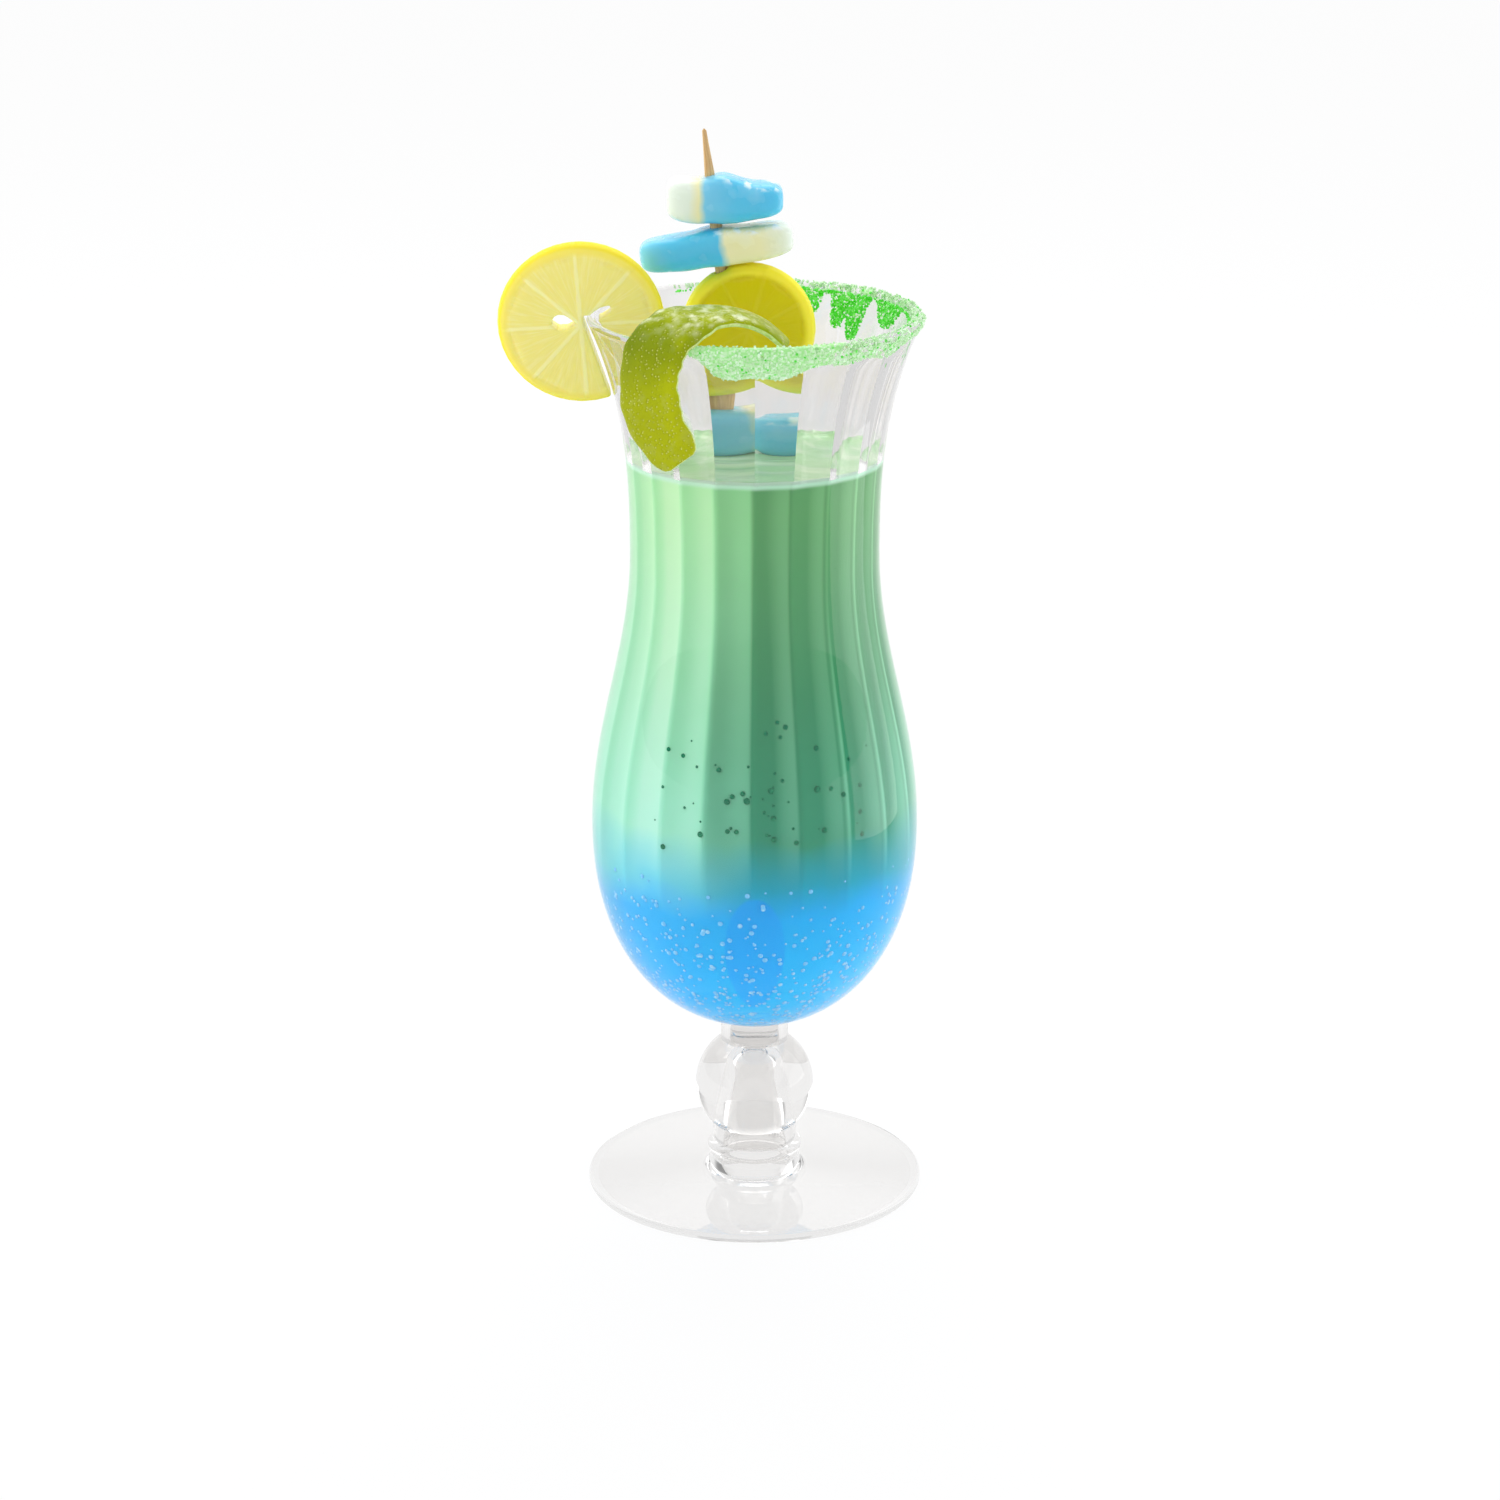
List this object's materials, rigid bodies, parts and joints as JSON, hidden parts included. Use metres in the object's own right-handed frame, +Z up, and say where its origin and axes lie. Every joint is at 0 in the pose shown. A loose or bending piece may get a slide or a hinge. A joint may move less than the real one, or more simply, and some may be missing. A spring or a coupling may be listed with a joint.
{
  "type": "plastic hurricane glass with garnish",
  "caption": "Tall clear plastic hurricane glass: fluted bowl plugged into a cored ball stem on a round foot, with sugared rim and lift-off lemon, lime peel and candy pick.",
  "frame": {"origin": "on the table, under the middle of the box around the dressed glass; the axis of the glass stands 9.05 mm to the right of it", "axes": "+Z up along the glass, +X to the right in the picture, +Y away from the camera"},
  "size_m": [0.0966, 0.0788, 0.2478],
  "materials": {
    "clear_plastic": "clear polished moulding",
    "green_sugar": "coarse crystals",
    "bamboo": "sanded",
    "gummy": "soft gloss, half blue and half cream",
    "lemon": "moist flesh with waxy rind",
    "lime_peel": "waxy pitted zest with pale pith"
  },
  "bodies": {
    "glass": {"bowl": "clear_plastic", "stem_and_foot": "clear_plastic", "sugar_rim": "green_sugar"},
    "skewer": {"pick": "bamboo", "gummy_top": "gummy", "gummy_middle": "gummy", "lemon_slice": "lemon", "gummy_bottom": "gummy"},
    "lemon_wheel": {"lemon_wheel": "lemon"},
    "lime_twist": {"lime_twist": "lime_peel"}
  },
  "joints": [
    {"name": "skewer_lift", "type": "slide", "parent": "glass", "child": "skewer", "axis": [-0.1184, 0, 0.993], "range_m": [0, 0.165]},
    {"name": "lemon_wheel_lift", "type": "slide", "parent": "glass", "child": "lemon_wheel", "axis": [-0.313, -0.1322, 0.9405], "range_m": [0, 0.026]},
    {"name": "lime_twist_lift", "type": "slide", "parent": "glass", "child": "lime_twist", "axis": [0, 0, 1], "range_m": [0, 0.035]}
  ]
}
